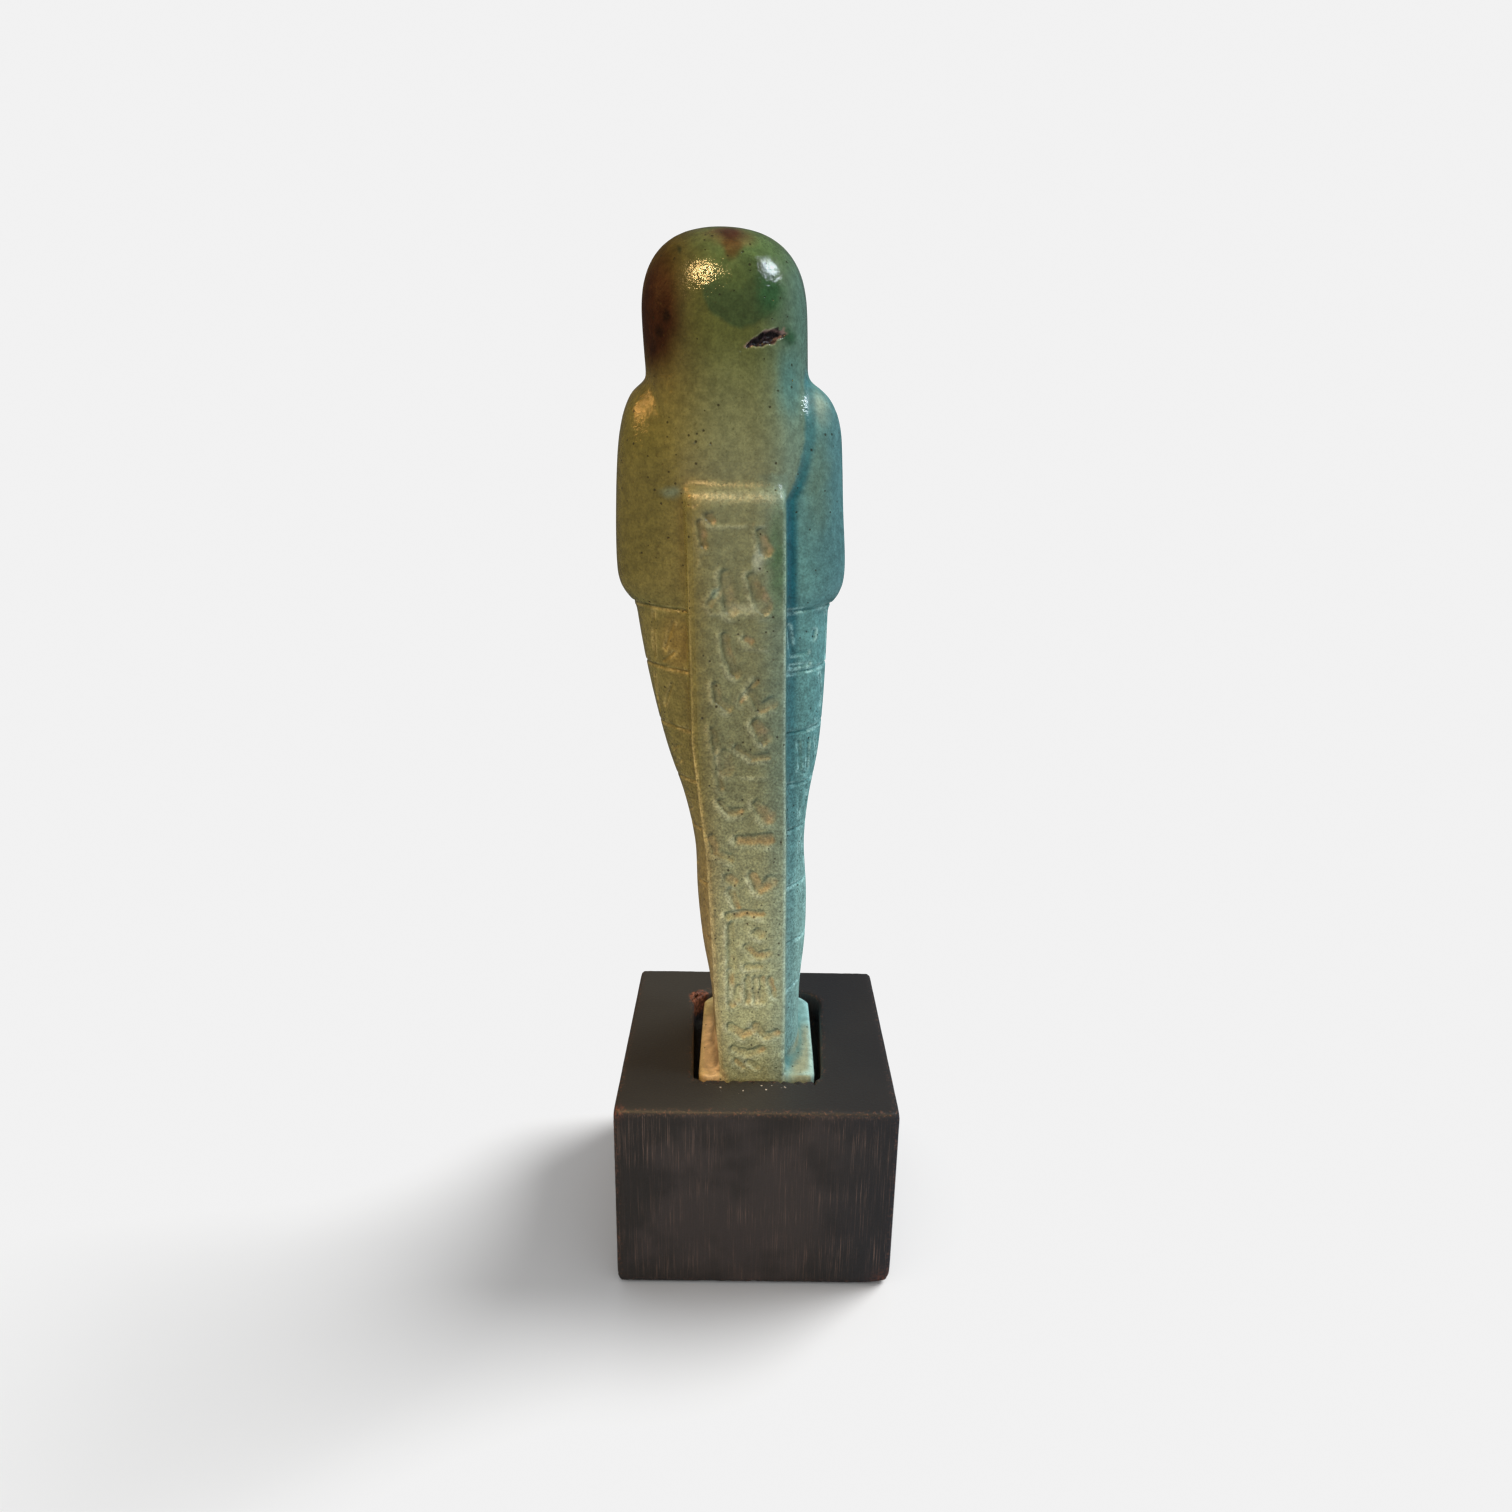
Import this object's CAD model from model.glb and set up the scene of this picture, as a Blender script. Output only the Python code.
# Ushabti figurine of glazed faience standing in a socketed block of dark stained wood.
# Metres, +Z up, the figure faces -Y. The tables below are in millimetres.
import math
import random

import bpy
import numpy as np
from mathutils import Matrix, Vector, noise


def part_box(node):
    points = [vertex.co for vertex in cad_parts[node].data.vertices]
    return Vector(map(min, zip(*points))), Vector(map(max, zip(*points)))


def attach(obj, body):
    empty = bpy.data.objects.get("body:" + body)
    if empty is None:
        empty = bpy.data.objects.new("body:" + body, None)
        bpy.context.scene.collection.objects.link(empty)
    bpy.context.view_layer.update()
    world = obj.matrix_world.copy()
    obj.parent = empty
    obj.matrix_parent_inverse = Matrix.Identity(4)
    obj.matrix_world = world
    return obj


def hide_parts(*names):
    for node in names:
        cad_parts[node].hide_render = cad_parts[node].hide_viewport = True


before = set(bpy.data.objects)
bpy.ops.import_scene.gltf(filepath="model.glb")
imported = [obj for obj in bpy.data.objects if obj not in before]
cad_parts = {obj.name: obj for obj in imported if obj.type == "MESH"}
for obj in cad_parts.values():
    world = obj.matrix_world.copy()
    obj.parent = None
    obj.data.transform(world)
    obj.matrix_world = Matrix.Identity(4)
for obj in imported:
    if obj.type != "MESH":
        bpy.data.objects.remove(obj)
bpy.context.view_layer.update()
MM = 0.001


# The camera stands behind the figure at about its own height, looking a little down. Its lens is
# wide and close, which is what makes the block's near side look wider than its far side.
CAMERA_PLACE = (0.002994, 0.214476, 0.179232)
CAMERA_YAW, CAMERA_PITCH, CAMERA_ROLL = 0.0082955, 0.301914, 0.01746
CAMERA_LENS = 24.81

ahead = Vector((-math.sin(CAMERA_YAW) * math.cos(CAMERA_PITCH),
                -math.cos(CAMERA_YAW) * math.cos(CAMERA_PITCH), -math.sin(CAMERA_PITCH)))
level_right = Vector((-math.cos(CAMERA_YAW), math.sin(CAMERA_YAW), 0.0))
level_up = level_right.cross(ahead)
right = math.cos(CAMERA_ROLL) * level_right + math.sin(CAMERA_ROLL) * level_up
up = math.cos(CAMERA_ROLL) * level_up - math.sin(CAMERA_ROLL) * level_right
lens = bpy.data.cameras.new("view_from_behind")
lens.lens = CAMERA_LENS
lens.sensor_width = 36.0
lens.clip_start = 0.001
camera = bpy.data.objects.new("view_from_behind", lens)
camera.matrix_world = Matrix.Translation(CAMERA_PLACE) @ Matrix(
    (right, up, -ahead)).transposed().to_4x4()
bpy.context.scene.collection.objects.link(camera)
bpy.context.scene.camera = camera


# The figure: one piece of glazed faience, which is quartz paste pressed in a mould and fired
# under a copper glaze, with its back pillar and its foot plinth in one with it.
def take_up(piece):
    """Selects one piece alone and makes it the one that the next operators work on."""
    bpy.ops.object.select_all(action="DESELECT")
    piece.select_set(True)
    bpy.context.view_layer.objects.active = piece


def finish_with(piece, kind, **settings):
    """Adds a modifier with its settings and applies it."""
    step = piece.modifiers.new(kind.lower(), kind)
    for name, value in settings.items():
        setattr(step, name, value)
    take_up(piece)
    bpy.ops.object.modifier_apply(modifier=step.name)


def points_of(piece):
    """Each vertex's place, in millimetres."""
    flat = np.empty(3 * len(piece.data.vertices))
    piece.data.vertices.foreach_get("co", flat)
    return flat.reshape(-1, 3) / MM


def put_points(piece, points):
    """Moves each vertex to its place, given in millimetres."""
    piece.data.vertices.foreach_set("co", (points * MM).ravel())
    piece.data.update()


def normals_of(piece):
    flat = np.empty(3 * len(piece.data.vertices))
    piece.data.vertex_normals.foreach_get("vector", flat)
    return flat.reshape(-1, 3)


def smooth_step(values, low, high):
    """0 below low, 1 above high and a soft rise between them."""
    share = np.clip((values - low) / (high - low), 0.0, 1.0)
    return share * share * (3.0 - 2.0 * share)


FAR = 9.0  # millimetres, and further from a stroke than anything that it changes


def nearest_on(chain, across, height):
    """Each point's distance to a chain of points, its share of the way along, and the offset."""
    best = np.full(len(across), np.inf)
    share = np.zeros(len(across))
    offset = np.zeros((len(across), 2))
    spans = len(chain) - 1
    for number, (start, end) in enumerate(zip(chain, chain[1:])):
        run = np.subtract(end, start)
        away = np.stack((across - start[0], height - start[1]), axis=1)
        along = np.clip(away @ run / (run @ run), 0.0, 1.0)
        gap = away - along[:, None] * run
        distance = np.hypot(gap[:, 0], gap[:, 1])
        nearer = distance < best
        best[nearer] = distance[nearer]
        share[nearer] = (number + along[nearer]) / spans
        offset[nearer] = gap[nearer]
    return best, share, offset


def cut_by(strokes, across, height):
    """What a set of strokes does at each point: its depth and how near the closest edge is, and
    shares of the shaded wall at upper left, the pale lip at lower left and the bare floor."""
    found = {name: np.zeros(len(across)) for name in ("depth", "shade", "lip", "bare")}
    found["edge"] = np.full(len(across), FAR)
    for chain, start_half, end_half, sunk in strokes:
        reach = max(start_half, end_half) + 1.2
        low, high = np.min(chain, axis=0) - reach, np.max(chain, axis=0) + reach
        window = np.flatnonzero((across > low[0]) & (across < high[0])
                                & (height > low[1]) & (height < high[1]))
        if len(window) == 0:
            continue
        away, share, offset = nearest_on(chain, across[window], height[window])
        half = start_half + (end_half - start_half) * share
        ratio = away / half
        aside, above = (offset / np.maximum(away, 0.01)[:, None]).T
        inner = np.clip(1.0 - ratio ** 3, 0.0, 1.0)
        steep = np.clip(0.75 * aside + 0.65 * above, -1.0, 1.0) * np.minimum(ratio, 1.0)
        parts = {
            "depth": sunk * inner * (0.70 + 0.30 * steep),
            "shade": np.clip(1.5 * steep, 0.0, 1.0) * np.exp(-((ratio - 0.70) / 0.33) ** 2),
            "lip": np.clip(0.9 * aside - 0.6 * above + 0.15, 0.0, 1.0)
                   * np.exp(-((away - half - 0.45) / 0.50) ** 2),
            "bare": inner * np.clip(0.55 - 0.8 * steep, 0.0, 1.0),
        }
        for name, values in parts.items():
            found[name][window] = np.maximum(found[name][window], values)
        found["edge"][window] = np.minimum(found["edge"][window], away - half)
    return found


def refine(piece, wanted):
    """Splits each face that has a wanted point into four."""
    take_up(piece)
    mesh = piece.data
    corners = np.empty(len(mesh.loops), dtype=np.int32)
    mesh.loops.foreach_get("vertex_index", corners)
    firsts = np.empty(len(mesh.polygons), dtype=np.int32)
    mesh.polygons.foreach_get("loop_start", firsts)
    chosen = np.logical_or.reduceat(wanted[corners], firsts)
    mesh.vertices.foreach_set("select", np.zeros(len(mesh.vertices), dtype=bool))
    mesh.edges.foreach_set("select", np.zeros(len(mesh.edges), dtype=bool))
    mesh.polygons.foreach_set("select", chosen)
    bpy.ops.object.mode_set(mode="EDIT")
    bpy.ops.mesh.select_mode(type="FACE")
    bpy.ops.mesh.subdivide(number_cuts=1)
    bpy.ops.object.mode_set(mode="OBJECT")


def rounding(past, radius):
    """The share of each point's way past a corner's centre that rounding the corner takes off."""
    return np.clip(1.0 - radius / np.maximum(np.hypot(*past), radius), 0.0, 1.0)


# How far the figure's middle stands to its left at each height; the pillar's middle and half width
# at each height, how far back it reaches, its top and its foot; and where the body's axis is
LEAN = ((36.0, 0.0), (46.0, 0.0), (80.0, 1.5), (105.0, 3.1), (141.0, 6.3), (160.0, 7.3),
        (180.0, 7.6), (200.0, 8.6), (216.0, 9.0))
PILLAR = ((40.0, 0.9, 6.9), (44.0, 1.0, 7.0), (60.0, 1.7, 7.5), (75.0, 2.2, 7.7),
          (97.0, 3.1, 8.2), (120.0, 4.9, 9.3), (150.0, 5.6, 9.4), (172.0, 6.2, 9.4))
PILLAR_BACK, PILLAR_TOP, PILLAR_FOOT = 17.8, 166.6, 44.0
AXIS_DEPTH = 1.0

# The inscription's place down the pillar: shallow strokes that spell nothing, each a chain of
# (share of the half width, height) with the half width at its two ends and its depth
PILLAR_STROKES = (
    ((0.69, 163.0), (0.62, 159.0), 0.69, 0.90, 0.65),
    ((0.50, 163.9), (0.46, 163.6), 1.12, 1.02, 0.59),
    ((-0.50, 161.5), (-0.62, 158.2), 0.88, 1.54, 0.65),
    ((0.22, 153.4), (0.10, 147.0), 1.25, 1.66, 0.72),
    ((0.26, 151.2), (0.54, 148.0), 0.62, 0.77, 0.45),
    ((-0.32, 153.2), (-0.56, 147.6), 1.12, 1.92, 0.65),
    ((0.25, 141.8), (0.18, 138.0), (0.04, 134.8), 0.88, 1.15, 0.78),
    ((-0.20, 141.4), (-0.28, 141.0), 0.88, 0.90, 0.39),
    ((0.46, 132.2), (0.40, 129.4), (0.20, 127.7), 0.75, 1.02, 0.72),
    ((-0.30, 130.6), (-0.48, 127.8), (-0.70, 128.8), 1.00, 1.41, 0.72),
    ((-0.06, 129.0), (-0.40, 133.2), 0.62, 0.64, 0.39),
    ((-0.40, 124.4), (-0.58, 121.9), 1.38, 1.79, 0.78),
    ((0.02, 119.6), (-0.28, 117.7), (-0.62, 118.0), 0.75, 0.77, 0.52),
    ((0.53, 123.3), (0.46, 118.6), 0.62, 0.77, 0.65),
    ((0.47, 117.3), (0.45, 111.2), 0.62, 0.64, 0.65),
    ((0.30, 118.2), (0.28, 115.2), 1.38, 1.54, 0.59),
    ((0.50, 108.2), (0.30, 106.1), (0.06, 106.4), 0.75, 0.90, 0.59),
    ((-0.34, 107.8), (-0.58, 105.4), 1.12, 1.92, 0.72),
    ((0.80, 100.6), (0.72, 97.3), (0.40, 96.0), 0.88, 1.02, 0.78),
    ((0.14, 100.1), (-0.58, 100.4), 1.12, 1.41, 0.72),
    ((0.44, 91.6), (0.36, 91.0), 1.25, 1.28, 0.59),
    ((0.40, 88.8), (0.24, 85.2), 0.88, 0.77, 0.65),
    ((-0.16, 92.4), (-0.34, 89.2), (-0.62, 91.0), 1.00, 1.54, 0.78),
    ((0.50, 83.2), (0.06, 84.0), (-0.36, 83.6), 0.88, 0.90, 0.72),
    ((0.46, 81.2), (0.47, 71.6), 0.75, 1.02, 0.72),
    ((-0.24, 79.4), (-0.34, 79.0), 1.12, 1.15, 0.59),
    ((0.06, 76.2), (-0.22, 74.0), (-0.52, 74.6), 0.75, 0.90, 0.65),
    ((0.52, 70.2), (0.50, 62.4), 0.75, 0.90, 0.72),
    ((0.30, 66.0), (0.32, 64.2), 1.12, 1.15, 0.59),
    ((0.04, 69.0), (0.06, 63.2), 0.62, 0.77, 0.59),
    ((-0.16, 68.6), (-0.20, 62.8), 0.62, 0.64, 0.59),
    ((-0.36, 69.0), (-0.36, 63.4), 0.62, 0.77, 0.59),
    ((-0.58, 68.6), (-0.70, 65.0), 0.75, 0.77, 0.59),
    ((0.10, 71.4), (-0.30, 71.7), 0.62, 0.64, 0.45),
    ((0.56, 57.0), (0.22, 54.8), (-0.02, 56.0), 1.00, 1.02, 0.72),
    ((-0.16, 57.2), (-0.44, 54.6), (-0.76, 55.6), 1.00, 1.02, 0.72),
    ((0.52, 51.6), (0.12, 50.3), (-0.30, 51.4), 0.88, 1.02, 0.65),
    ((0.50, 48.6), (0.26, 47.2), 0.62, 0.77, 0.52),
    ((0.08, 48.4), (-0.16, 47.0), 0.62, 0.77, 0.52),
)
# Faint raised lines that the mould left across the pillar, by share of the half width and height
PILLAR_RIDGES = (
    ((0.34, 162.3), (-0.54, 162.5)), ((0.56, 146.0), (-0.64, 145.6)),
    ((-0.06, 139.4), (-0.60, 139.2)), ((0.0, 113.2), (-0.60, 113.4)),
    ((0.70, 159.6), (0.72, 155.0)),
)
RIDGE_HALF, RIDGE_RISE = 0.5, 0.14


def by_height(table, height):
    """What a table of (height, value) gives at each height."""
    return np.interp(height, *np.array(table).T)


def pillar_at(height):
    """The pillar's middle and half width."""
    heights, middles, halves = np.array(PILLAR).T
    return np.interp(height, heights, middles), np.interp(height, heights, halves)


def down_pillar(places):
    """Turns places given as (share of the half width, height) to millimetres."""
    found = []
    for share, height in places:
        middle, half = pillar_at(height)
        found.append((middle + share * half, height))
    return found


def around_body(points):
    """Each point's turn about the body's axis, in degrees from its back to its left, and radius."""
    across = points[:, 0] - by_height(LEAN, points[:, 2])
    deep = points[:, 1] - AXIS_DEPTH
    return np.degrees(np.arctan2(across, deep)), np.hypot(across, deep)


# The solid's faces are made small and even enough to carve, and its edges soft as under a glaze
FIGURE_VOXEL = 0.74
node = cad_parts["ushabti_figure"]
figure = bpy.data.objects.new("faience_figure", node.data.copy())
bpy.context.scene.collection.objects.link(figure)
figure.data.materials.clear()
take_up(figure)
bpy.ops.object.mode_set(mode="EDIT")
bpy.ops.mesh.select_all(action="SELECT")
bpy.ops.mesh.remove_doubles(threshold=0.000001)
bpy.ops.mesh.normals_make_consistent(inside=False)
bpy.ops.object.mode_set(mode="OBJECT")
finish_with(figure, "SUBSURF", levels=2, render_levels=2)
finish_with(figure, "REMESH", mode="VOXEL", voxel_size=FIGURE_VOXEL * MM)
finish_with(figure, "SMOOTH", factor=0.5, iterations=5)

# The pillar's flat back and its two edges are sharper than the rest: the right one all the way
# up, the left one only on the legs, above which it grows softer
RIGHT_ROUND, LEFT_ROUND, LEFT_SOFTER, LEFT_SOFTENS = 0.45, 0.5, 1.5, (108.0, 128.0)
points = points_of(figure)
middle, half = pillar_at(points[:, 2])
pillar_zone = ((points[:, 1] > 15.6) & (np.abs(points[:, 0] - middle) < half + 1.2)
               & (points[:, 2] < PILLAR_TOP + 4.0) & (points[:, 2] > PILLAR_FOOT))
refine(figure, pillar_zone)
points = points_of(figure)
middle, half = pillar_at(points[:, 2])
side = points[:, 0] - middle
left_round = LEFT_ROUND + LEFT_SOFTER * smooth_step(points[:, 2], *LEFT_SOFTENS)
round_by = np.where(side > 0.0, left_round, RIGHT_ROUND)
beyond_x = np.abs(side) - (half - round_by)
beyond_y = points[:, 1] - (PILLAR_BACK - round_by)
outside = (beyond_x > 0.0) & (beyond_y > 0.0)
length = np.where(outside, np.hypot(beyond_x, beyond_y), 1.0)
off = np.where(outside, length, np.maximum(beyond_x, beyond_y)) - round_by
step_x = np.where(outside, beyond_x / length, (beyond_x > beyond_y) * 1.0) * np.sign(side)
step_y = np.where(outside, beyond_y / length, (beyond_x <= beyond_y) * 1.0)
weight = (smooth_step(points[:, 1], 15.0, 15.9) * (np.abs(off) < 1.1)
          * (1.0 - smooth_step(points[:, 2], PILLAR_TOP - 1.5, PILLAR_TOP - 0.3))
          * (points[:, 2] > PILLAR_FOOT + 0.8))
points[:, 0] -= step_x * off * weight
points[:, 1] -= step_y * off * weight
put_points(figure, points)


# Rows of shallow strokes run round the legs between level lines, and spell nothing. Those beside
# the pillar are chains of (turn about the body's axis, height) with the half width at the two ends.
# The others, from the sides to the front, are plainer and drawn by row_strokes. A turn becomes
# millimetres at LEG_RADIUS, whatever the radius of the legs at its height.
ROW_LINES = (146.2, 134.0, 121.6, 110.2, 99.6, 87.0, 74.0, 62.8)
ROWS_LOW, ROWS_HIGH = 60.0, 147.0
LINE_HALF, LINE_DEPTH = 0.36, 0.42
STROKE_HALVES, STROKE_DEPTH = (0.36, 0.42), 0.42
LEG_RADIUS = 13.5
FRONT_FROM, FRONT_TO = 92.0, 174.0
SIDE_STROKES = (
    ((-42.0, 143.0), (-44.0, 138.2), 0.45, 0.5),
    ((-44.0, 137.4), (-56.0, 137.6), 0.4, 0.35),
    ((-43.0, 134.9), (-57.0, 135.2), 0.4, 0.35),
    ((-62.0, 141.6), (-61.0, 140.2), 0.5, 0.5),
    ((-74.0, 145.0), (-80.0, 139.0), (-78.0, 134.0), 0.3, 0.3),
    ((-68.0, 132.6), (-74.0, 127.0), (-66.0, 123.4), 0.3, 0.3),
    ((-48.0, 119.4), (-50.0, 113.2), 0.4, 0.4),
    ((-57.0, 119.0), (-58.0, 112.4), 0.4, 0.35),
    ((-48.0, 112.8), (-57.0, 111.8), 0.35, 0.3),
    ((-66.0, 119.0), (-75.0, 113.0), 0.3, 0.3),
    ((-60.0, 108.6), (-70.0, 102.0), 0.3, 0.3),
    ((-52.0, 107.0), (-52.0, 102.4), 0.3, 0.3),
    ((-60.0, 97.0), (-72.0, 90.0), 0.3, 0.3),
    ((-54.0, 96.0), (-56.0, 91.0), 0.3, 0.3),
    ((-58.0, 84.6), (-66.0, 79.0), 0.3, 0.3),
    ((-60.0, 71.6), (-64.0, 66.4), 0.3, 0.3),
    ((44.0, 143.4), (52.0, 138.0), 0.4, 0.3),
    ((46.0, 137.4), (54.0, 135.6), 0.35, 0.3),
    ((58.0, 145.0), (62.0, 136.0), 0.3, 0.3),
    ((50.0, 131.0), (60.0, 126.0), 0.3, 0.3),
    ((66.0, 132.0), (70.0, 124.0), 0.3, 0.3),
    ((52.0, 118.0), (62.0, 116.6), 0.3, 0.3),
    ((54.0, 114.6), (66.0, 112.6), 0.3, 0.3),
    ((56.0, 107.6), (68.0, 105.6), 0.3, 0.3),
    ((56.0, 103.8), (70.0, 102.0), 0.3, 0.3),
    ((60.0, 96.0), (72.0, 93.4), 0.3, 0.3),
    ((60.0, 91.0), (70.0, 89.6), 0.3, 0.3),
    ((60.0, 83.0), (68.0, 78.0), 0.3, 0.3),
    ((62.0, 70.0), (70.0, 66.0), 0.3, 0.3),
)


def row_strokes():
    """Strokes between the level lines, as chains of (turn, height) with their half widths."""
    random.seed(11)
    found = list(SIDE_STROKES)
    for low, high in zip(ROW_LINES[1:], ROW_LINES):
        for side in (1, -1):
            turn = FRONT_FROM
            while turn < FRONT_TO:
                height = random.uniform(low + 2.2, high - 2.2)
                kind = random.random()
                tall = min(high - height, height - low) - 1.4
                if kind < 0.4:
                    chain = [(turn, height - tall),
                             (turn + random.uniform(-2, 2), height + tall)]
                elif kind < 0.7:
                    chain = [(turn - 4.0, height),
                             (turn + 4.5, height + random.uniform(-0.6, 0.6))]
                else:
                    chain = [(turn - 3.5, height + 1.2), (turn, height - 0.9),
                             (turn + 4.0, height + 0.8)]
                found.append((*((side * a, h) for a, h in chain), *STROKE_HALVES))
                turn += random.uniform(8.5, 12.5)
    return found


def body_cuts(points):
    """The depth of the rows' lines and strokes at each point, and the distance to their edges."""
    turn, radius = around_body(points)
    depth = np.zeros(len(points))
    edge = np.full(len(points), FAR)
    for level in ROW_LINES:
        waver = 0.25 * np.sin(np.radians(turn) * 5.0 + level)
        away = np.abs(points[:, 2] - level - waver)
        depth = np.maximum(depth, LINE_DEPTH * np.clip(1.0 - (away / LINE_HALF) ** 2, 0.0, 1.0))
        edge = np.minimum(edge, away - LINE_HALF)
    for *chain, start_half, end_half in row_strokes():
        centre = sum(a for a, _ in chain) / len(chain)
        window = np.flatnonzero(np.abs(turn - centre) < 20.0)
        along = np.radians(turn[window] - centre) * radius[window]
        places = [(math.radians(a - centre) * LEG_RADIUS, h) for a, h in chain]
        cut = cut_by([(places, start_half, end_half, STROKE_DEPTH)],
                     along * LEG_RADIUS / radius[window], points[window, 2])
        depth[window] = np.maximum(depth[window], cut["depth"])
        edge[window] = np.minimum(edge[window], cut["edge"])
    middle, half = pillar_at(points[:, 2])
    beyond = np.abs(points[:, 0] - middle) - half
    inside = (((beyond > 0.3) | (points[:, 1] < 12.0))
              & (points[:, 2] < ROWS_HIGH) & (points[:, 2] > ROWS_LOW))
    return depth * inside, np.where(inside, edge, FAR)


# The face is carved finer than its solid: lids round plain almond eyes, the line of the lips, and
# brows, which stand out. Each is a chain of (from the middle of the face, height) with its two half
# widths and depth. The lids and brows are given for one side and mirrored.
FACE_LOW, FACE_HIGH = 192.0, 206.5
FACE_LIDS = (
    ((1.8, 200.8), (3.9, 202.0), (6.2, 201.2), (0.36, 0.32, 0.55)),
    ((1.8, 200.8), (3.9, 200.0), (6.2, 201.0), (0.28, 0.28, 0.42)),
    ((6.2, 201.1), (7.9, 201.3), (0.34, 0.26, 0.35)),
)
FACE_LIPS = (((-2.5, 194.8), (0.0, 194.35), (2.5, 194.8), (0.30, 0.30, 0.50)),)
FACE_BROWS = (((1.3, 203.5), (4.2, 204.5), (7.6, 203.6), (0.60, 0.42, 0.50)),)


def face_cuts(points):
    """How deep the face's lines lie, how far its brows stand out, and the distance to both."""
    across = points[:, 0] - by_height(LEAN, points[:, 2])
    on_face = (smooth_step(-points[:, 1], 5.0, 7.5)
               * (points[:, 2] > FACE_LOW) * (points[:, 2] < FACE_HIGH))
    lids, lips, brows = [
        cut_by([(chain, *sizes) for *chain, sizes in table], place, points[:, 2])
        for table, place in ((FACE_LIDS, np.abs(across)), (FACE_LIPS, across),
                             (FACE_BROWS, np.abs(across)))]
    near = np.minimum(np.minimum(lids["edge"], lips["edge"]), brows["edge"])
    return (np.maximum(lids["depth"], lips["depth"]) * on_face, brows["depth"] * on_face,
            np.where(on_face > 0.0, near, FAR))


# A flake is gone from the back of the head: a ragged hollow to the dark core, running down to the
# figure's left
CHIP_CENTRE = np.array((0.85, 14.7, 195.1))
CHIP_LONG = np.array((6.6, 2.75, -2.6)) / 7.61
CHIP_HALF_LENGTH, CHIP_HALF_HEIGHT, CHIP_DEPTH = 4.5, 1.3, 1.0


def wobble(points, size, seed=0.0):
    """Smooth noise from -1 to 1 at each point, with a grain of the given size in millimetres."""
    return np.array([noise.noise(Vector(point) / size + Vector((seed, 0.0, 0.0)))
                     for point in points])


def chip_share(points):
    """1 at the flake's outline and less inside it. It narrows toward its left end."""
    off = points - CHIP_CENTRE
    along = off @ CHIP_LONG
    out = np.cross(CHIP_LONG, (0.0, 0.0, 1.0))
    out /= np.linalg.norm(out)
    tall = off @ np.cross(out, CHIP_LONG)
    taper = CHIP_HALF_HEIGHT * (1.0 - 0.6 * np.clip(along / CHIP_HALF_LENGTH, 0.0, 1.0))
    share = np.hypot(along / CHIP_HALF_LENGTH, tall / taper)
    return np.where(points[:, 1] > 8.0, share, FAR)


def add_mark(piece, name, values):
    """Stores one value a point on the piece, for its material to read."""
    layer = piece.data.attributes.new(name, "FLOAT", "POINT")
    layer.data.foreach_set("value", np.clip(values, 0.0, 1.0).astype(np.float32))


def hollows_of(piece, passes):
    """How far each point lies below its smoothed surroundings, in millimetres, ridges negative."""
    points = points_of(piece)
    ends = np.empty(2 * len(piece.data.edges), dtype=np.int32)
    piece.data.edges.foreach_get("vertices", ends)
    one, other = ends[0::2], ends[1::2]
    count = np.bincount(ends, minlength=len(points))[:, None]
    smooth = points.copy()
    for _ in range(passes):
        total = np.zeros_like(smooth)
        for axis in range(3):
            total[:, axis] = (np.bincount(one, smooth[other, axis], len(points))
                              + np.bincount(other, smooth[one, axis], len(points)))
        smooth = 0.5 * smooth + 0.5 * total / count
    return np.einsum("ij,ij->i", smooth - points, normals_of(piece))


# The foot plinth's two corners at the back are rounded, about a centre at this x and y
PLINTH_CORNER_X, PLINTH_CORNER_Y, PLINTH_ROUND, PLINTH_TOP = 9.8, 14.7, 3.0, 47.0
points = points_of(figure)
past = np.maximum(np.stack((np.abs(points[:, 0]) - PLINTH_CORNER_X,
                            points[:, 1] - PLINTH_CORNER_Y)), 0.0)
rounded = rounding(past, PLINTH_ROUND) * (points[:, 2] < PLINTH_TOP)
points[:, 0] -= np.sign(points[:, 0]) * past[0] * rounded
points[:, 1] -= past[1] * rounded
put_points(figure, points)

# Finer faces where there is something to carve
_, edge = body_cuts(points)
refine(figure, ((edge < 0.5) & (points[:, 1] > -4.0)) | (edge < 0.1) | (chip_share(points) < 1.5))
refine(figure, chip_share(points_of(figure)) < 1.25)
refine(figure, face_cuts(points_of(figure))[2] < 1.0)
refine(figure, face_cuts(points_of(figure))[2] < 0.35)

# The carving: rows, face, the pillar's strokes and ridges with ragged edges, and the flake
points = points_of(figure)
normals = normals_of(figure)
depth, row_edge = body_cuts(points)
points -= normals * depth[:, None]
carved_in, raised_out, _ = face_cuts(points)
points[:, 1] += carved_in - raised_out
middle, half = pillar_at(points[:, 2])
ragged_x = points[:, 0] + 0.30 * wobble(points, 1.5, 5.0) + 0.14 * wobble(points, 0.6, 7.0)
ragged_z = points[:, 2] + 0.30 * wobble(points, 1.5, 9.0) + 0.14 * wobble(points, 0.6, 2.0)
cut = cut_by([(down_pillar(chain), start_half, end_half, sunk)
              for *chain, start_half, end_half, sunk in PILLAR_STROKES], ragged_x, ragged_z)
raised = cut_by([(down_pillar(chain), RIDGE_HALF, RIDGE_HALF, RIDGE_RISE)
                 for chain in PILLAR_RIDGES], ragged_x, ragged_z)
on_back = smooth_step(points[:, 1], PILLAR_BACK - 1.4, PILLAR_BACK - 0.9)
sandy_down = smooth_step(-points[:, 2], -120.0, -70.0)
lumps = (0.05 + 0.07 * sandy_down) * wobble(points, 2.2, 12.0) + 0.05 * wobble(points, 0.9, 20.0)
points[:, 1] += on_back * (raised["depth"] + RIDGE_RISE * cut["lip"] - cut["depth"]
                           + np.minimum(lumps, 0.05) * (points[:, 2] > 46.0))
points[:, 1] = np.minimum(points[:, 1], PILLAR_BACK + 0.15)
share = chip_share(points)
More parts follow.
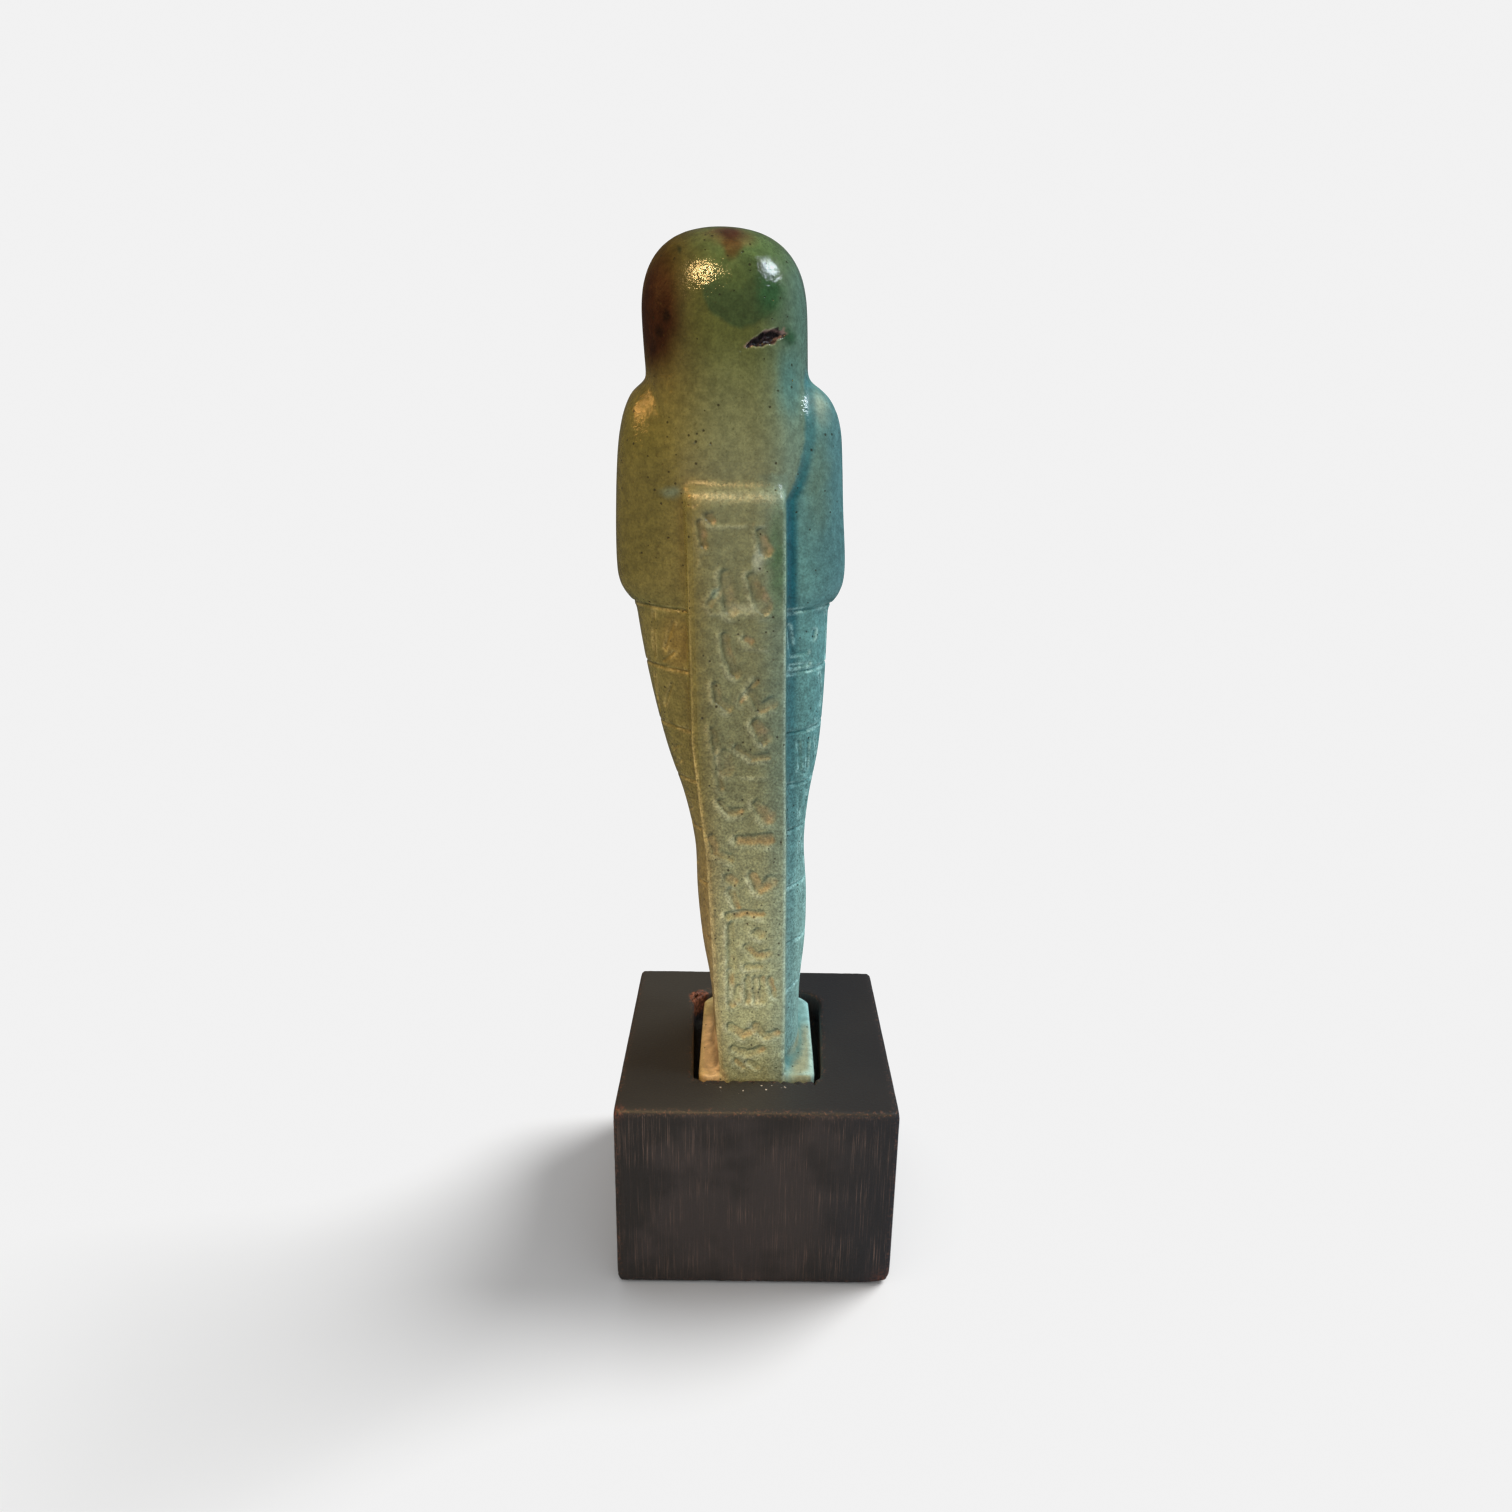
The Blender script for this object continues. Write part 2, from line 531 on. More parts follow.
ragged = share + 0.24 * wobble(points, 0.9, 3.0)
chip_depth = (CHIP_DEPTH * (1.0 - smooth_step(ragged, 0.66, 1.0))
              + 0.3 * (ragged < 0.9) * wobble(points, 0.5))
points -= normals * chip_depth[:, None]
put_points(figure, points)
finish_with(figure, "TRIANGULATE")

# Marks that the glaze reads. First its zones: blue on the figure's right, whose edge runs down the
# wig and then the pillar, and ochre on its left. The tables hold (height, value).
WIG_EDGE = ((167.0, -3.4), (170.7, -5.0), (178.0, -6.6), (190.0, -6.2), (200.0, -9.0))
OCHRE_START = ((70.0, 0.55), (120.0, 0.30))
TEAL_SHARE = ((60.0, 0.15), (110.0, 0.35), (140.0, 0.6), (150.0, 1.0), (168.0, 1.0),
              (176.0, 0.6), (192.0, 0.5))
LEFT_RIM_SHARE = ((112.0, 2.0), (122.0, 0.7), (150.0, 0.5), (160.0, 0.0))
side = points[:, 0] - middle
across = points[:, 0] - by_height(LEAN, points[:, 2])
rise = points[:, 2]
right_edge = np.where(rise < WIG_EDGE[0][0], middle - half, by_height(WIG_EDGE, rise))
beyond_right = right_edge - points[:, 0]
behind = smooth_step(points[:, 1], -3.0, 6.0)
blue = smooth_step(beyond_right, -0.5, 0.7) * (1.0 - smooth_step(rise, 188.0, 196.0))
in_front = smooth_step(-across, -16.0, 11.0) * (1.0 - smooth_step(rise, 186.0, 202.0))
blue = behind * blue + (1.0 - behind) * in_front
bluish_wig = 0.65 * smooth_step(-across, 4.0, 17.0) * smooth_step(rise, 162.0, 172.0)
bluish_pillar = 0.42 * smooth_step(-side, 0.25 * half, 0.95 * half) * (rise < 172.0)
blue = np.maximum.reduce((blue, bluish_wig * behind, bluish_pillar * behind))
add_mark(figure, "blue", blue)
start = by_height(OCHRE_START, rise) * half
brown = np.where((rise < 168.0) & (points[:, 1] > 2.0),
                 smooth_step(side, start, start + 0.7 * half), smooth_step(across, -1.0, 12.0))
add_mark(figure, "ochre", brown)
dull = smooth_step(points[:, 0], 12.0, 19.0) * smooth_step(rise, 184.0, 192.0)
add_mark(figure, "dull", np.maximum(dull, smooth_step(beyond_right, 0.0, 1.5) * (rise < 190.0)))
plain = smooth_step(-rise, -46.8, -45.6) * (np.abs(side) > half - 0.3)
add_mark(figure, "plain", plain)

# Glaze pooled teal in the groove beside the pillar and wig
teal = smooth_step(beyond_right, -0.1, 0.5) * (1.0 - smooth_step(beyond_right, 1.6, 2.9))
teal *= (points[:, 1] > 6.0) * by_height(TEAL_SHARE, rise)
add_mark(figure, "teal", teal * (1.0 - smooth_step(rise, 186.0, 193.0)))

# Edges worn pale, the parts of the strokes, the flake, and every other hollow and ridge
rim = np.exp(-((np.abs(side) - half + 0.20) / 0.32) ** 2) * smooth_step(points[:, 1], 16.4, 17.0)
rim *= np.where(side > 0.0, by_height(LEFT_RIM_SHARE, rise),
                1.0 - smooth_step(rise, 160.0, 165.0))
bevel = np.exp(-((rise - 167.8) / 1.1) ** 2) * (points[:, 1] > 14.0) * (np.abs(side) < half)
patches = smooth_step(wobble(points, 2.4, 31.0), -0.35, 0.25)
fine_lines = np.clip(1.0 - np.abs(row_edge - 0.05) / 0.4, 0.0, 1.0) * patches
fine_lines *= np.where(side < 0.0, 0.65, 0.40)
carved = on_back * (0.45 + 0.4 * sandy_down) * (0.35 + 0.65 * patches)
add_mark(figure, "lip", np.maximum.reduce((
    carved * cut["lip"], 0.8 * carved * raised["depth"] / RIDGE_RISE,
    0.7 * rim, 0.35 * bevel, fine_lines)))
add_mark(figure, "shade", on_back * cut["shade"])
add_mark(figure, "bare", on_back * cut["bare"])
add_mark(figure, "chip", 1.0 - smooth_step(ragged, 0.86, 1.02))
rough_rim = np.exp(-((ragged - 0.88) / 0.12) ** 2)
rough_rim *= smooth_step(wobble(points, 1.1, 40.0), -0.1, 0.3)
add_mark(figure, "chip_rim", rough_rim * (share < 1.3))
hollow = hollows_of(figure, 14)
add_mark(figure, "hollow", smooth_step(hollow, 0.05, 0.45) * (1.0 - on_back))
add_mark(figure, "ridge", smooth_step(-hollow, 0.08, 0.35) * (1.0 - on_back))
figure.data.shade_smooth()


def linear(code):
    """An sRGB hex colour as the linear values that a shader takes."""
    parts = [int(code[place:place + 2], 16) / 255 for place in (1, 3, 5)]
    return (*(part / 12.92 if part <= 0.04045 else ((part + 0.055) / 1.055) ** 2.4
              for part in parts), 1.0)


def add_node(material, kind, inputs=None, **settings):
    """Adds a shader node. An input given as another node's output is linked to it."""
    made = material.node_tree.nodes.new("ShaderNode" + kind)
    for name, value in settings.items():
        setattr(made, name, value)
    for name, value in (inputs or {}).items():
        if isinstance(value, bpy.types.NodeSocket):
            material.node_tree.links.new(value, made.inputs[name])
        else:
            made.inputs[name].default_value = value
    return made


def mixed(material, share, under, over, blend="MIX"):
    return add_node(material, "Mix", {0: share, 6: under, 7: over}, data_type="RGBA",
                    blend_type=blend).outputs[2]


def ramp(material, value, low, high, start=0.0, end=1.0):
    return add_node(material, "MapRange", {"Value": value, "From Min": low, "From Max": high,
                                           "To Min": start, "To Max": end},
                    interpolation_type="SMOOTHSTEP").outputs[0]


def maths(material, operation, one, other=0.0):
    return add_node(material, "Math", {0: one, 1: other}, operation=operation).outputs[0]


def times(material, one, other):
    return maths(material, "MULTIPLY", one, other)


def grains(material, place, scale, detail=3.0, roughness=0.55):
    """Cloudy noise, with its scale in cells a millimetre."""
    return add_node(material, "TexNoise", {"Vector": place, "Scale": scale, "Detail": detail,
                                           "Roughness": roughness}).outputs["Fac"]


# Copper-glazed faience: quartz paste under a thin alkaline glaze, glossy where the glaze lay
# thick on the wig and sandy matt low on the pillar. The copper fires turquoise, the side that
# lay in iron-rich ground has gone ochre, and pinholes show dark where gas left the glaze.
glaze = bpy.data.materials.new("copper_glazed_faience")
glaze.use_nodes = True
surface = glaze.node_tree.nodes["Principled BSDF"]
place = add_node(glaze, "TexCoord").outputs["Object"]
in_mm = add_node(glaze, "Mapping", {"Vector": place, "Scale": (1.0 / MM,) * 3}).outputs[0]
drift = add_node(glaze, "TexNoise", {"Vector": in_mm, "Scale": 0.22,
                                     "Detail": 2.0}).outputs["Color"]
drift = add_node(glaze, "VectorMath", {0: drift, 1: (0.5, 0.5, 0.5)},
                 operation="SUBTRACT").outputs[0]
drift = add_node(glaze, "VectorMath", {0: drift, "Scale": 2.6}, operation="SCALE").outputs[0]
wavering = add_node(glaze, "VectorMath", {0: in_mm, 1: drift}, operation="ADD").outputs[0]
rise = add_node(glaze, "SeparateXYZ", {0: wavering}).outputs["Z"]
marks = {name: add_node(glaze, "Attribute", attribute_name=name).outputs["Fac"]
         for name in ("blue", "ochre", "teal", "lip", "shade", "bare", "chip", "chip_rim",
                      "hollow", "ridge", "dull", "plain")}


def in_zones(middle_tint, ochre_tint, blue_tint):
    """One colour for the middle of the back, one for its ochre left and one for its blue right."""
    tinted = mixed(glaze, marks["ochre"], linear(middle_tint), linear(ochre_tint))
    return mixed(glaze, marks["blue"], tinted, linear(blue_tint))


thin_glaze = in_zones("#6a7152", "#676233", "#517d7e")
thick_glaze = in_zones("#4c542c", "#413815", "#46706e")
sandy_glaze = in_zones("#9aa27b", "#8b7948", "#749792")
colour = mixed(glaze, ramp(glaze, rise, 176.0, 198.0), thin_glaze, thick_glaze)
colour = mixed(glaze, ramp(glaze, rise, 122.0, 58.0), colour, sandy_glaze)

# Stains and thick glaze, each a soft-edged spot: its centre, its reach along each axis, the share
# of the reach where its edge starts, its colour and its strength
STAINS = (
    ((-15.0, 3.0, 167.0), (13.0, 18.0, 27.0), 0.60, "#416669", 0.85),
    ((25.0, 3.0, 167.0), (13.0, 18.0, 27.0), 0.60, "#555226", 0.85),
    ((4.0, 10.0, 211.0), (12.5, 14.0, 7.5), 0.30, "#435d38", 0.75),
    ((5.4, 15.0, 203.0), (7.5, 9.0, 6.3), 0.84, "#2f4127", 0.85),
    ((0.2, 14.0, 202.4), (4.0, 8.0, 5.4), 0.20, "#20472c", 0.70),
    ((7.4, 15.0, 206.8), (6.6, 8.0, 4.8), 0.20, "#4a5a31", 0.70),
    ((21.4, 10.6, 199.5), (8.4, 10.0, 14.0), 0.42, "#2a1406", 0.97),
    ((19.0, 13.2, 198.5), (1.1, 4.0, 1.5), 0.30, "#120a05", 0.85),
    ((20.2, 12.0, 195.9), (1.0, 4.0, 1.7), 0.20, "#120a05", 0.80),
    ((21.4, 10.4, 193.6), (1.4, 4.0, 2.4), 0.20, "#1c1008", 0.70),
    ((16.7, 11.2, 209.9), (0.8, 3.0, 1.1), 0.20, "#1c2412", 0.80),
    ((7.5, 11.0, 212.2), (6.4, 8.0, 3.2), 0.35, "#5c4c2c", 0.65),
    ((7.0, 13.0, 210.2), (2.2, 5.0, 3.2), 0.30, "#4a2e10", 0.75),
    ((7.7, 10.8, 212.9), (4.2, 6.0, 2.2), 0.25, "#321208", 0.92),
    ((-3.4, 12.0, 187.0), (4.0, 6.0, 10.0), 0.00, "#3b7478", 0.50),
    ((-3.4, 12.4, 196.0), (2.0, 4.0, 2.2), 0.20, "#123a20", 0.75),
    ((-9.4, 8.2, 184.0), (3.6, 5.0, 5.6), 0.00, "#7f9080", 0.75),
    ((-9.0, 9.0, 170.0), (4.5, 8.0, 16.0), 0.10, "#5a6f58", 0.55),
    ((-2.2, 17.0, 156.0), (3.2, 3.0, 14.0), 0.10, "#34603c", 0.80),
    ((1.6, 17.8, 156.4), (1.7, 3.0, 3.4), 0.10, "#a3b3a4", 0.60),
    ((4.6, 17.8, 146.8), (4.6, 3.0, 1.7), 0.10, "#a5ae92", 0.55),
    ((9.4, 17.8, 149.6), (1.2, 3.0, 2.0), 0.10, "#5f8a80", 0.45),
    ((17.8, 12.5, 168.3), (3.4, 6.0, 2.0), 0.20, "#5f7a70", 0.50),
    ((17.0, 11.0, 139.0), (5.0, 8.0, 9.0), 0.20, "#8a6a26", 0.30),
    ((13.2, 12.0, 92.0), (1.0, 4.0, 1.8), 0.20, "#5a2a10", 0.80),
    ((12.2, 13.0, 88.4), (0.9, 4.0, 1.3), 0.20, "#5a2a10", 0.80),
    ((11.5, 8.0, 43.0), (7.0, 18.0, 7.0), 0.60, "#c2ab80", 0.95),
    ((-11.5, 9.0, 43.0), (7.2, 16.0, 7.0), 0.55, "#82876f", 0.92),
)
for centre, reach, soft, tint, strength in STAINS:
    spot = add_node(glaze, "Mapping", {
        "Vector": wavering, "Scale": tuple(1.0 / size for size in reach),
        "Location": tuple(-middle / size for middle, size in zip(centre, reach))}).outputs[0]
    away = add_node(glaze, "VectorMath", {0: spot}, operation="LENGTH").outputs["Value"]
    colour = mixed(glaze, ramp(glaze, away, 1.0, soft, 0.0, strength), colour, linear(tint))

# The strokes and edges: glaze pooled dark in the hollows, worn pale on the lips, and left bare
# and pinkish on some of the strokes' floors
fine = grains(glaze, in_mm, 2.2, 3.0, 0.7)
medium = grains(glaze, in_mm, 0.6, 3.0)
colour = mixed(glaze, times(glaze, marks["hollow"], 0.7), colour,
               in_zones("#4b4d2c", "#4d3c16", "#2c6668"))
colour = mixed(glaze, marks["teal"], colour, linear("#1b5560"))
colour = mixed(glaze, times(glaze, marks["ridge"], 0.5), colour,
               in_zones("#a3a884", "#a5965a", "#94bfc0"))
broad = grains(glaze, in_mm, 0.16, 2.0)
floor_tint = mixed(glaze, ramp(glaze, medium, 0.42, 0.60), linear("#776a3c"), linear("#866c4c"))
floor_tint = mixed(glaze, ramp(glaze, rise, 120.0, 80.0), floor_tint, linear("#a8854e"))
left_bare = times(glaze, marks["bare"], ramp(glaze, broad, 0.44, 0.62, 0.05, 0.70))
colour = mixed(glaze, left_bare, colour, floor_tint)
colour = mixed(glaze, times(glaze, marks["shade"], 0.48), colour,
               in_zones("#3d4330", "#46391a", "#1f4f55"))
colour = mixed(glaze, times(glaze, marks["lip"], ramp(glaze, fine, 0.30, 0.55, 0.25, 0.85)),
               colour, in_zones("#b3bda0", "#b9a96c", "#a4cfcd"))

# Grain of the quartz body, about half a millimetre and strongest low down, and a faint cloudiness
sandy = ramp(glaze, rise, 175.0, 90.0, 0.40, 1.0)
sandy = times(glaze, sandy, ramp(glaze, marks["plain"], 0.0, 1.0, 1.0, 0.25))
colour = mixed(glaze, sandy, colour, ramp(glaze, fine, 0.28, 0.72, 0.60, 1.44), "MULTIPLY")
colour = mixed(glaze, 1.0, colour, ramp(glaze, medium, 0.30, 0.70, 0.83, 1.17), "MULTIPLY")
flecks = ramp(glaze, grains(glaze, in_mm, 1.9, 2.0, 0.6), 0.60, 0.74, 0.0, 0.48)
colour = mixed(glaze, flecks, colour, in_zones("#3a3c20", "#3c3010", "#2c5650"))

# Pinholes in the glaze, up to half a millimetre across, in about two fifths of the cells, which
# are 1.3 mm wide
cells = add_node(glaze, "TexVoronoi", {"Vector": in_mm, "Scale": 0.75})
chance = add_node(glaze, "SeparateColor", {0: cells.outputs["Color"]}).outputs["Red"]
pin = ramp(glaze, maths(glaze, "SUBTRACT", cells.outputs["Distance"],
                        ramp(glaze, chance, 0.50, 1.0, -0.05, 0.17)), 0.03, 0.0)
colour = mixed(glaze, times(glaze, pin, 0.75), colour, linear("#22200f"))

# The flake's dark core and its paler rim
broken = ramp(glaze, grains(glaze, in_mm, 1.6), 0.50, 0.62)
core = mixed(glaze, broken, linear("#1a0d12"), linear("#35222a"))
colour = mixed(glaze, marks["chip"], colour, core)
colour = mixed(glaze, times(glaze, marks["chip_rim"], 0.8), colour, linear("#9a8078"))

# Relief in millimetres: the grain, a slight orange peel, and the pinholes
height = times(glaze, fine, times(glaze, sandy, 0.15))
for peel in (grains(glaze, in_mm, 1.5, 0.0), medium):
    height = maths(glaze, "ADD", height, times(glaze, peel, 0.05))
height = maths(glaze, "SUBTRACT", height, times(glaze, pin, 0.10))
bump = add_node(glaze, "Bump", {"Height": height, "Strength": 1.0, "Distance": MM}).outputs[0]

# Roughness: the wig is glossy, the body less so toward its foot, and what is worn, bare or broken
# is matt. The dull side also reflects less.
gloss = ramp(glaze, rise, 182.0, 170.0, 0.07, 0.34)
gloss = maths(glaze, "MAXIMUM", gloss, ramp(glaze, rise, 170.0, 70.0, 0.06, 0.52))
gloss = times(glaze, gloss, ramp(glaze, marks["ochre"], 0.7, 1.0, 1.0, 0.7))
for name, rougher in (("dull", 0.35), ("bare", 0.2), ("chip", 0.4)):
    gloss = maths(glaze, "ADD", gloss, times(glaze, marks[name], rougher))
shine = ramp(glaze, marks["dull"], 0.0, 1.0, 0.75, 0.12)
for name, socket in (("Base Color", colour), ("Roughness", gloss), ("Normal", bump),
                     ("Specular IOR Level", shine)):
    glaze.node_tree.links.new(socket, surface.inputs[name])
surface.inputs["IOR"].default_value = 1.5
figure.data.materials.append(glaze)
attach(figure, "root")
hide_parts("ushabti_figure")


# The block: hardwood sawn square and stained nearly black, its edges eased and since rubbed back
# to the wood, with a socket cut in its top for the figure's foot plinth.
BLOCK_HALF, BLOCK_HEIGHT, BLOCK_EDGE, BLOCK_VOXEL = 30.0, 44.2, 1.0, 0.62
RECESS_LEFT, RECESS_RIGHT, RECESS_BACK, RECESS_FRONT = 14.7, -15.0, 18.4, -19.5
RECESS_DEPTH, RECESS_BACK_CORNER, RECESS_FRONT_CORNER, RECESS_TAPER = 8.0, 2.6, 5.5, 0.0034
RECESS_OVER = 2.0  # how far the form that cuts the socket stands out of the block

bpy.ops.object.select_all(action="DESELECT")
bpy.ops.mesh.primitive_cube_add(size=2.0)
block = bpy.context.object
block.name = "stained_block"
bpy.ops.object.mode_set(mode="EDIT")
bpy.ops.transform.resize(value=(BLOCK_HALF * MM, BLOCK_HALF * MM, BLOCK_HEIGHT / 2 * MM))
bpy.ops.transform.translate(value=(0.0, 0.0, BLOCK_HEIGHT / 2 * MM))
bpy.ops.mesh.bevel(offset=BLOCK_EDGE * MM, segments=4, affect="EDGES")
bpy.ops.object.mode_set(mode="OBJECT")

bpy.ops.object.select_all(action="DESELECT")
bpy.ops.mesh.primitive_plane_add(size=2.0)
socket_form = bpy.context.object
bpy.ops.object.mode_set(mode="EDIT")
bpy.ops.transform.resize(value=((RECESS_LEFT - RECESS_RIGHT) / 2 * MM,
                                (RECESS_BACK - RECESS_FRONT) / 2 * MM, 1.0))
bpy.ops.transform.translate(value=((RECESS_LEFT + RECESS_RIGHT) / 2 * MM,
                                   (RECESS_BACK + RECESS_FRONT) / 2 * MM,
                                   (BLOCK_HEIGHT + RECESS_OVER) * MM))
for end, radius in ((RECESS_BACK, RECESS_BACK_CORNER), (RECESS_FRONT, RECESS_FRONT_CORNER)):
    bpy.ops.mesh.select_all(action="DESELECT")
    bpy.ops.object.mode_set(mode="OBJECT")
    for vertex in socket_form.data.vertices:
        vertex.select = abs(vertex.co.y - end * MM) < 0.5 * MM
    bpy.ops.object.mode_set(mode="EDIT")
    bpy.ops.mesh.select_mode(type="VERT")
    bpy.ops.mesh.bevel(offset=radius * MM, segments=8, affect="VERTICES")
bpy.ops.mesh.select_all(action="SELECT")
bpy.ops.mesh.extrude_region_move(
    TRANSFORM_OT_translate={"value": (0.0, 0.0, -(RECESS_DEPTH + RECESS_OVER) * MM)})
bpy.ops.mesh.select_all(action="SELECT")
bpy.ops.mesh.normals_make_consistent(inside=False)
bpy.ops.object.mode_set(mode="OBJECT")
points = points_of(socket_form)
points[:, 0] *= 1.0 - RECESS_TAPER * points[:, 1]
put_points(socket_form, points)
finish_with(block, "BOOLEAN", operation="DIFFERENCE", object=socket_form, solver="EXACT")
bpy.data.objects.remove(socket_form, do_unlink=True)
finish_with(block, "REMESH", mode="VOXEL", voxel_size=BLOCK_VOXEL * MM)
finish_with(block, "SMOOTH", factor=0.5, iterations=2)

# Knocks and wear take a little off the edges, most at the socket's front left corner, which has
# crumbled to bare wood, at its near rim and at the block's lowest corner at the back right. The
# corner at the back left of its top is rubbed to bare wood.
CRUMBLED, KNOCKED, RUBBED = (13.6, -16.4), (-30.0, 30.0, 0.0), (29.8, 29.8, 44.0)


def near_spot(points, spot, spread):
    """1 at a spot, fading with the square of the distance to it."""
    return np.exp(-((points - spot) ** 2).sum(axis=1) / spread)


points = points_of(block)
normals = normals_of(block)
rough = wobble(points, 1.4)
broad = wobble(points, 7.0, 4.0)
on_edge = smooth_step(-hollows_of(block, 8), 0.03, 0.20)
crumbly = near_spot(points[:, :2], CRUMBLED, 9.0)
near_rim = (np.exp(-((points[:, 1] - RECESS_BACK) / 1.2) ** 2) * (np.abs(points[:, 0]) < 15.0)
            * smooth_step(points[:, 2], BLOCK_HEIGHT - 1.5, BLOCK_HEIGHT - 0.4))
knocked = near_spot(points, KNOCKED, 12.0)
off = on_edge * (0.06 + 0.10 * np.clip(rough + broad, 0.0, 1.0))
off += on_edge * crumbly * (0.8 + 0.8 * rough) * 1.1
off += (near_rim * smooth_step(wobble(points, 1.0, 8.0), 0.0, 0.4) * 1.2
        + on_edge * knocked * 0.6)
points -= normals * np.maximum(off, 0.0)[:, None]

# The block's two bottom corners at the back are rounded, about a centre this far across and up
LOW_CORNER_X, LOW_ROUND = 27.4, 2.6
past = np.maximum(np.stack((np.abs(points[:, 0]) - LOW_CORNER_X, LOW_ROUND - points[:, 2])), 0.0)
rounded = smooth_step(points[:, 1], 16.0, 27.0) * rounding(past, LOW_ROUND)
points[:, 0] -= np.sign(points[:, 0]) * past[0] * rounded
points[:, 2] += past[1] * rounded
low_corner, high_corner = [np.array(corner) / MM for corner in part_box("wood_block")]
points = np.clip(points, low_corner, high_corner)
put_points(block, points)
finish_with(block, "TRIANGULATE")

# Marks that the wood reads: worn edges, the crumbled corner, two rubbed ones and a dusty back rim
add_mark(block, "worn", smooth_step(-hollows_of(block, 8), 0.05, 0.22))
add_mark(block, "crumbly", 1.2 * crumbly * smooth_step(points[:, 2], 36.0, 42.0))
add_mark(block, "rubbed", np.maximum(near_spot(points, RUBBED, 2.5), knocked))
dusty = np.exp(-(((points[:, 0] - 1.0) / 15.0) ** 4 + ((points[:, 1] - 21.0) / 3.4) ** 2))
add_mark(block, "dusty", dusty * (points[:, 2] > BLOCK_HEIGHT - 0.6))
block.data.shade_smooth()

# Hardwood under a black stain with a thin satin wax: near black with a little brown in it,
# fine scratches up the sides, bare reddish wood where it is rubbed, and a few specks of dust.
wood = bpy.data.materials.new("black_stained_hardwood")
wood.use_nodes = True
surface = wood.node_tree.nodes["Principled BSDF"]
place = add_node(wood, "TexCoord").outputs["Object"]
in_mm = add_node(wood, "Mapping", {"Vector": place, "Scale": (1.0 / MM,) * 3}).outputs[0]
upright = add_node(wood, "Mapping", {"Vector": in_mm, "Scale": (5.2, 5.2, 0.07)}).outputs[0]
streak = grains(wood, upright, 1.0, 4.0, 0.65)
cloud = grains(wood, in_mm, 0.07)
fine = grains(wood, in_mm, 1.8)
normal = add_node(wood, "NewGeometry").outputs["Normal"]
facing = add_node(wood, "SeparateXYZ", {0: normal}).outputs
on_side = ramp(wood, maths(wood, "ABSOLUTE", facing["Z"]), 0.7, 0.3)
worn, crumb, rubbed, dusty = [add_node(wood, "Attribute", attribute_name=name).outputs["Fac"]
                              for name in ("worn", "crumbly", "rubbed", "dusty")]
across = add_node(wood, "SeparateXYZ", {0: in_mm}).outputs["X"]
colour = mixed(wood, ramp(wood, across, -24.0, 20.0), linear("#252628"), linear("#302f2b"))
sides = mixed(wood, ramp(wood, grains(wood, in_mm, 0.05), 0.42, 0.60),
              linear("#2b2b2d"), linear("#393638"))
sides = mixed(wood, ramp(wood, across, -8.0, -28.0), sides, linear("#2a2d34"))
colour = mixed(wood, on_side, colour, sides)
scratch = times(wood, ramp(wood, streak, 0.52, 0.70), on_side)
patchy = ramp(wood, grains(wood, in_mm, 0.09), 0.40, 0.62, 0.25, 0.9)
scratch = times(wood, scratch, patchy)
colour = mixed(wood, scratch, colour, linear("#6c5b54"))
colour = mixed(wood, times(wood, worn, ramp(wood, fine, 0.54, 0.68, 0.0, 0.8)), colour,
               linear("#6a4a3a"))
colour = mixed(wood, times(wood, rubbed, ramp(wood, fine, 0.35, 0.60)), colour,
               linear("#6e4030"))
crumbs = grains(wood, in_mm, 1.1, 4.0, 0.7)
torn = ramp(wood, maths(wood, "ADD", crumb, times(wood, crumbs, 0.5)), 0.62, 0.80)
torn_wood = mixed(wood, ramp(wood, crumbs, 0.42, 0.62), linear("#3a2014"), linear("#764a36"))
colour = mixed(wood, torn, colour, torn_wood)
specks = add_node(wood, "TexVoronoi", {"Vector": in_mm, "Scale": 1.0})
chance = add_node(wood, "SeparateColor", {0: specks.outputs["Color"]}).outputs["Red"]
settled = times(wood, chance, maths(wood, "ADD", dusty, 0.42))
speck = maths(wood, "LESS_THAN", specks.outputs["Distance"],
              ramp(wood, settled, 0.6, 1.4, 0.0, 0.30))
colour = mixed(wood, speck, colour, linear("#a8a095"))
height = times(wood, streak, times(wood, on_side, 0.10))
height = maths(wood, "ADD", height, times(wood, fine, 0.08))
bump = add_node(wood, "Bump", {"Height": height, "Strength": 1.0, "Distance": MM}).outputs[0]
sheen = ramp(wood, cloud, 0.3, 0.7, 0.42, 0.55)
for name, socket in (("Base Color", colour), ("Roughness", sheen), ("Normal", bump)):
    wood.node_tree.links.new(socket, surface.inputs[name])
surface.inputs["IOR"].default_value = 1.5
block.data.materials.append(wood)
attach(block, "root")
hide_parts("wood_block")


# The studio: a plain pale floor that meets a backdrop of its own brightness, a broad soft key
# from beyond the figure's right, and small warm and cool lamps on the figure's back.
FLOOR_GREY, BACKDROP = "#f3f3f3", "#ffffff"
bpy.ops.object.select_all(action="DESELECT")
bpy.ops.mesh.primitive_plane_add(size=60.0)
floor = bpy.context.object
floor.name = "pale_floor"
paint = bpy.data.materials.new("matt_pale_floor")
paint.use_nodes = True
surface = paint.node_tree.nodes["Principled BSDF"]
surface.inputs["Base Color"].default_value = linear(FLOOR_GREY)
surface.inputs["Roughness"].default_value = 1.0
surface.inputs["Specular IOR Level"].default_value = 0.0
floor.data.materials.append(paint)
floor.visible_glossy = False

